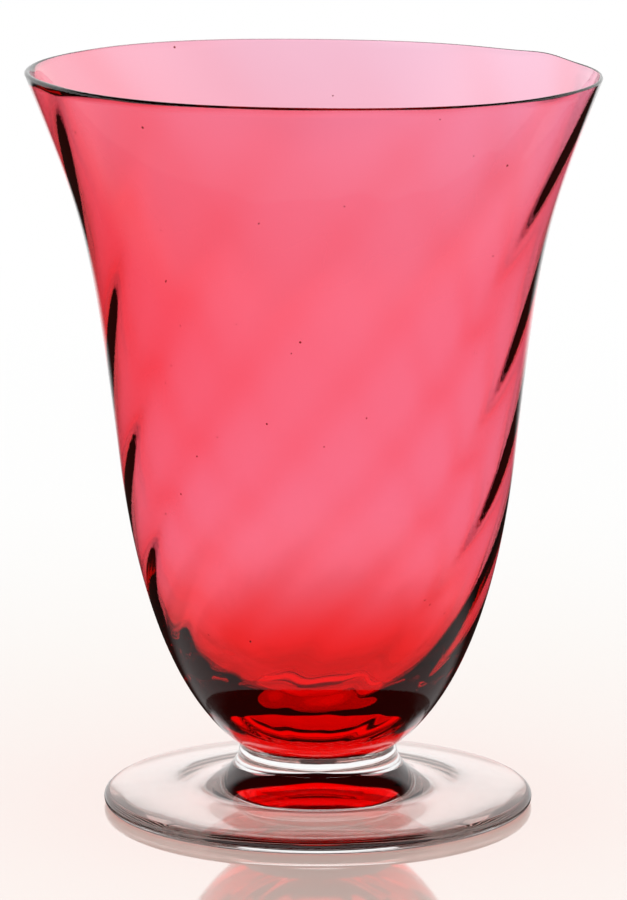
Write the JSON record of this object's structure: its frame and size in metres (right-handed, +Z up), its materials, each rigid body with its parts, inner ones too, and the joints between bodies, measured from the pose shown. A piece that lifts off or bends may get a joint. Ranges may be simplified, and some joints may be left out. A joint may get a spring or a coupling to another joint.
{
  "type": "footed dessert bowl",
  "caption": "Tall bell-shaped blown glass bowl with a flared rim and spiral optic ribs, on a short clear neck and a clear disc foot.",
  "frame": {"origin": "on the surface that the bowl stands on, under the middle of the foot", "axes": "+Z up through the middle of the bowl; the picture is seen from -Y with +X to the right"},
  "size_m": [0.1156, 0.1156, 0.1507],
  "materials": {
    "ruby_glass": "fire-polished transparent ruby, paler where the wall is thin and deep red where it is thick",
    "clear_glass": "fire-polished colourless glass with faint tool ripples"
  },
  "bodies": {
    "root": {"bowl": "ruby_glass", "neck_wafer": "clear_glass", "foot": "clear_glass"}
  },
  "joints": []
}
